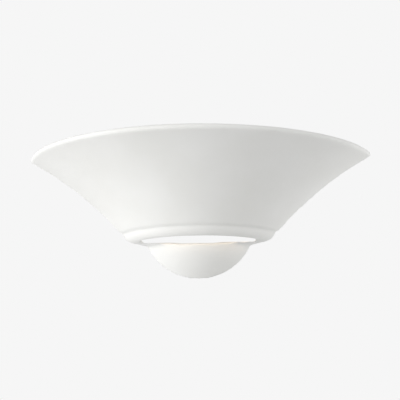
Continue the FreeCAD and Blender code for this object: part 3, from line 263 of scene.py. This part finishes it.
def opal_glass():
    """A lit opal bulb: warm light, a little brighter round its middle."""
    made = Finish("opal_glass", (0.36, 0.35, 0.33), 0.32)
    links = {0: made.place.outputs["Object"], 1: BULB_CENTRE}
    offset = made.node("VectorMath", links, operation="DISTANCE").outputs["Value"]
    fade = made.between(offset, *BULB_FADE)
    mottle = made.between(made.noise(180, 3), *NOISE_MIDDLE, 0.0, 0.12)
    glow = made.mixed(fade, (1.0, 0.86, 0.66), (0.86, 0.63, 0.42))
    glow = made.mixed(mottle, glow, (0.98, 0.80, 0.58))
    made.tree.links.new(glow, made.shader.inputs["Emission Color"])
    made.shader.inputs["Emission Strength"].default_value = BULB_GLOW
    made.bump(made.noise(90, 2), 0.10, 0.0003)
    return made


def clear_glass():
    """Clear glass, very slightly uneven."""
    made = Finish("clear_glass", (0.94, 0.97, 0.96), 0.04)
    made.shader.inputs["Transmission Weight"].default_value = 1.0
    made.mottled(made.noise(200, 2), 0.4, 0.6, (0.94, 0.97, 0.96), (0.88, 0.92, 0.90))
    made.bump(made.noise(240, 2), 0.12, 0.0003)
    return made


def dark_glass():
    """Black glass of a bulb's cap."""
    made = Finish("black_glass", (0.016, 0.016, 0.022), 0.10)
    made.mottled(made.noise(260, 2), 0.4, 0.6, (0.014, 0.014, 0.02), (0.03, 0.03, 0.04))
    made.bump(made.noise(400, 2), 0.12, 0.0002)
    return made


def solder():
    """Dull, slightly lumpy solder."""
    made = Finish("solder", (0.52, 0.52, 0.53), 0.42, Metallic=1.0)
    made.worn(made.noise(500, 3), 0.32, 0.58)
    made.bump(made.noise(420, 3), 0.5, 0.0004)
    return made


def drawn_wire():
    """Drawn filament wire."""
    made = Finish("filament_wire", (0.34, 0.34, 0.36), 0.35, Metallic=1.0)
    made.worn(made.noise(900, 2, (0.1, 1, 1)), 0.26, 0.46)
    return made


def nylon():
    """Natural moulded nylon: off-white, slightly waxy."""
    made = Finish("block_nylon", (0.74, 0.72, 0.65), 0.45)
    made.shader.inputs["Subsurface Weight"].default_value = 0.15
    made.shader.inputs["Subsurface Radius"].default_value = (0.002, 0.0015, 0.001)
    made.mottled(made.noise(90, 3), 0.35, 0.7, (0.76, 0.74, 0.67), (0.70, 0.67, 0.58))
    made.worn(made.noise(300, 3), 0.38, 0.54)
    made.bump(made.noise(1100, 2), 0.15, 0.0001)
    return made


def rubber():
    """Dark grey rubber, matt."""
    made = Finish("grey_rubber", (0.055, 0.055, 0.056), 0.68)
    made.mottled(made.noise(140, 4), 0.4, 0.7, (0.05, 0.05, 0.052), (0.085, 0.083, 0.08))
    made.bump(made.noise(900, 3), 0.25, 0.0001)
    return made


def insulation(name, dark, light):
    """Extruded lead insulation, with fine streaks."""
    made = Finish(name, dark, 0.38)
    made.mottled(made.noise(260, 3, (0.3, 1, 1)), 0.35, 0.7, dark, light)
    made.worn(made.noise(500, 2), 0.32, 0.48)
    made.bump(made.noise(800, 2), 0.08, 0.0001)
    return made


def two_colour_insulation():
    """Green and yellow insulation: yellow along its upper side, green round the rest."""
    made = insulation("earth_wire", (0.05, 0.26, 0.04), (0.08, 0.33, 0.06))
    side = made.node("SeparateXYZ", {"Vector": made.place.outputs["Normal"]}).outputs["Z"]
    made.mottled(side, *EARTH_BAND, (0.06, 0.29, 0.05), (0.78, 0.62, 0.04))
    return made


def woven_sleeve():
    """White woven heat sleeve: two crossing sets of fine strands."""
    made = Finish("glass_sleeve", (0.80, 0.79, 0.73), 0.85)
    strands = []
    for stretch in ((1, 1, 1), (1, -1, -1)):
        links = {"Vector": made.place_scaled(stretch), "Scale": 420.0, "Distortion": 0.6}
        wave = made.node("TexWave", links, bands_direction="DIAGONAL")
        strands.append(wave.outputs["Fac"])
    weave = made.node("Math", {0: strands[0], 1: strands[1]}, operation="MULTIPLY").outputs[0]
    made.colour(made.mixed(made.between(weave, 0.0, 0.6), (0.62, 0.60, 0.54), (0.84, 0.83, 0.78)))
    made.bump(weave, 0.5, 0.0002)
    return made


def all_finishes():
    """Each finish by the name of its material slot."""
    return {
        "ceramic": ceramic(), "zinc_steel": zinc_steel(), "brass": brass(), "nickel": nickel(),
        "black_phenolic": black_phenolic(), "porcelain": porcelain(), "opal_glass": opal_glass(),
        "clear_glass": clear_glass(), "black_glass": dark_glass(), "solder": solder(),
        "filament_wire": drawn_wire(), "block_nylon": nylon(), "grey_rubber": rubber(),
        "brown_wire": insulation("brown_wire", (0.11, 0.042, 0.018), (0.16, 0.065, 0.03)),
        "blue_wire": insulation("blue_wire", (0.02, 0.09, 0.34), (0.035, 0.13, 0.42)),
        "earth_wire": two_colour_insulation(), "glass_sleeve": woven_sleeve(),
    }


# ---- the casting's skin
def even_mesh(node):
    """A copy of a node's mesh, remade in even cells."""
    copy = bpy.data.objects.new("even", frame["nodes"][node].data.copy())
    bpy.context.scene.collection.objects.link(copy)
    cells = copy.modifiers.new("cells", "REMESH")
    cells.mode = "VOXEL"
    cells.voxel_size = CELL
    graph = bpy.context.evaluated_depsgraph_get()
    mesh = bpy.data.meshes.new_from_object(copy.evaluated_get(graph))
    bpy.data.objects.remove(copy)
    return mesh


def smoothed(points, edges, weights, passes):
    """Moves each point part of the way to the middle of its neighbours, by its weight."""
    ends = np.concatenate((edges[:, 0], edges[:, 1]))
    others = np.concatenate((edges[:, 1], edges[:, 0]))
    count = np.maximum(np.bincount(ends, minlength=len(points)), 1)
    for _ in range(passes):
        for axis in range(3):
            middle = np.bincount(ends, points[others, axis], len(points)) / count
            points[:, axis] += (middle - points[:, axis]) * SMOOTHING_STEP * weights[:, axis]
    return points


def ear_clear(points):
    """0 at the ears, whose faces and holes stay as they are, and 1 away from them."""
    clear = np.ones(len(points))
    for node in ("left_shade_nut", "right_shade_nut"):
        low, high = (np.array(corner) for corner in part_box(node))
        middle = (low + high) / 2
        reach = np.hypot(points[:, 0] - middle[0], points[:, 2] - middle[2])
        near = (reach < EAR_REACH) & (points[:, 1] > low[1] - EAR_REACH)
        clear[near] = 0.0
    return clear


def mesh_rows(items, what, width, kind=np.float64):
    """One attribute of all of a mesh's points or edges, as rows of an array."""
    values = np.empty(len(items) * width, dtype=kind)
    items.foreach_get(what, values)
    return values.reshape(-1, width)


def smoothing_places(points, clear):
    """How strongly each place's smoothing acts on each point, from 0 to 1."""
    from_sill = np.abs(points - SILL_MIDDLE) / SILL_REACH
    near_sill = np.clip(SILL_FADE * (1.0 - from_sill.max(axis=1)), 0.0, 1.0)
    radius = np.hypot(points[:, 0], points[:, 1] - AXIS_BEHIND_WALL)
    return {
        "all": clear,
        "rim": clear * np.interp(points[:, 2], RIM_BAND, (0.0, 1.0)),
        "sill": near_sill * np.interp(radius, SILL_RADII, (1.0, 0.0)),
    }


def casting_skin(finish):
    """The casting with the soft edges and slight waviness of slip-cast clay."""
    mesh = even_mesh("ceramic_shade")
    points = mesh_rows(mesh.vertices, "co", 3)
    edges = mesh_rows(mesh.edges, "vertices", 2, np.int64)
    clear = ear_clear(points)
    places = smoothing_places(points, clear)
    back = points[:, 1] > -BACK_KEPT
    for place, passes in PASSES.items():
        weights = np.repeat(places[place][:, None], 3, axis=1)
        weights[back, 1] = 0.0
        start = points.copy()
        moved = smoothed(points, edges, weights, passes) - start
        length = np.maximum(np.linalg.norm(moved, axis=1), TINY)
        points = start + moved * np.minimum(MOST_MOVED[place] / length, 1.0)[:, None]
    mesh.vertices.foreach_set("co", points.ravel())
    mesh.update()
    normals = mesh_rows(mesh.vertices, "normal", 3)
    waves = np.array([noise.noise(Vector(point) / WAVE_LENGTH) for point in points])
    depth = (WAVE_DEPTH * (waves - 1.0) * clear)[:, None] * normals
    depth[back, 1] = 0.0
    mesh.vertices.foreach_set("co", (points + depth).ravel())
    mesh.polygons.foreach_set("use_smooth", [True] * len(mesh.polygons))
    mesh.update()
    mesh.materials.clear()
    mesh.materials.append(finish.material)
    skin = bpy.data.objects.new("casting_skin", mesh)
    bpy.context.scene.collection.objects.link(skin)
    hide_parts("ceramic_shade")
    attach(skin, "shade")


def dress_cad_nodes(finishes):
    """Gives every carried-over piece the finish of its material slot."""
    for entry in frame["record"]["subparts"]:
        piece = frame["nodes"][entry["node"]]
        piece.data.materials.clear()
        piece.data.materials.append(finishes[entry["material_slot"]].material)


# ---- surroundings, light and camera
def seen_rays(tree):
    """1 for what the eye sees, straight, in a gloss or through glass, and 0 for cast light."""
    rays = tree.nodes.new("ShaderNodeLightPath")
    seen = rays.outputs["Is Camera Ray"]
    for name in ("Is Glossy Ray", "Is Transmission Ray"):
        either = tree.nodes.new("ShaderNodeMath")
        either.operation = "MAXIMUM"
        tree.links.new(seen, either.inputs[0])
        tree.links.new(rays.outputs[name], either.inputs[1])
        seen = either.outputs[0]
    return seen


def world():
    """White surroundings: the background colour to the eye, and a plain level of light."""
    made = bpy.data.worlds.new("surroundings")
    bpy.context.scene.world = made
    made.use_nodes = True
    tree = made.node_tree
    tree.nodes.clear()
    seen = seen_rays(tree)
    shaders = []
    for strength in (WORLD_LIGHT, BACKGROUND):
        shader = tree.nodes.new("ShaderNodeBackground")
        shader.inputs["Color"].default_value = (1, 1, 1, 1)
        shader.inputs["Strength"].default_value = strength
        shaders.append(shader)
    mix = tree.nodes.new("ShaderNodeMixShader")
    tree.links.new(seen, mix.inputs[0])
    tree.links.new(shaders[0].outputs[0], mix.inputs[1])
    tree.links.new(shaders[1].outputs[0], mix.inputs[2])
    tree.links.new(mix.outputs[0], tree.nodes.new("ShaderNodeOutputWorld").inputs["Surface"])


def floor():
    """A pale floor, lifted towards the background's brightness away from the object."""
    bpy.ops.mesh.primitive_plane_add(size=FLOOR_SIZE, location=(0, 0, FLOOR_Z))
    plane = bpy.context.object
    plane.name = "floor"
    made = Finish("floor", (0.86, 0.86, 0.86), 0.9)
    made.mottled(made.noise(3, 2), *NOISE_MIDDLE, (0.855, 0.855, 0.855), (0.865, 0.865, 0.865))
    made.shader.inputs["Emission Color"].default_value = (1.0, 1.0, 1.0, 1.0)
    away = made.node("VectorMath", {0: made.place.outputs["Object"]}, operation="LENGTH")
    lift = made.between(away.outputs["Value"], *FLOOR_REACH, *FLOOR_LIFT)
    seen = made.node("Math", {0: seen_rays(made.tree), 1: lift}, operation="MULTIPLY")
    made.tree.links.new(seen.outputs[0], made.shader.inputs["Emission Strength"])
    plane.data.materials.append(made.material)


def placed(data, place, back):
    """A lamp or camera at a place, facing away from the direction back."""
    holder = bpy.data.objects.new(data.name, data)
    holder.location = place
    holder.rotation_euler = (-back).to_track_quat("-Z", "Y").to_euler()
    bpy.context.scene.collection.objects.link(holder)
    return holder


def lamps():
    """The lamps round the object, and the small ones that light the ball through the slot."""
    for name, lamp in LAMPS.items():
        light = bpy.data.lights.new(name, "AREA")
        light.energy = lamp["watts"]
        light.size = lamp["size"]
        back = direction(lamp["azimuth"], lamp["elevation"])
        placed(light, back * lamp["distance"], back)
    for turn in SLOT_GLOW["turns"]:
        light = bpy.data.lights.new("slot_glow", "AREA")
        light.shape = "RECTANGLE"
        light.size, light.size_y = SLOT_GLOW["size"]
        light.energy = SLOT_GLOW["watts"]
        light.color = SLOT_GLOW["colour"]
        outward = direction(turn, 0) * SLOT_GLOW["radius"]
        place = outward + Vector((0, AXIS_BEHIND_WALL, SLOT_GLOW["height"]))
        holder = placed(light, place, direction(turn, SLOT_GLOW["tilt"]))
        holder.visible_camera = holder.visible_glossy = False


def camera():
    """The photograph's camera."""
    lens = bpy.data.cameras.new("camera")
    lens.sensor_width = SENSOR_MM
    lens.lens = FOCAL_PX / FRAME_PX * SENSOR_MM
    back = direction(CAMERA_AZIMUTH, CAMERA_ELEVATION)
    bpy.context.scene.camera = placed(lens, CAMERA_TARGET + back * CAMERA_DISTANCE, back)


finishes = all_finishes()
dress_cad_nodes(finishes)
casting_skin(finishes["ceramic"])
world()
floor()
lamps()
camera()
bpy.context.scene.view_settings.view_transform = "Standard"
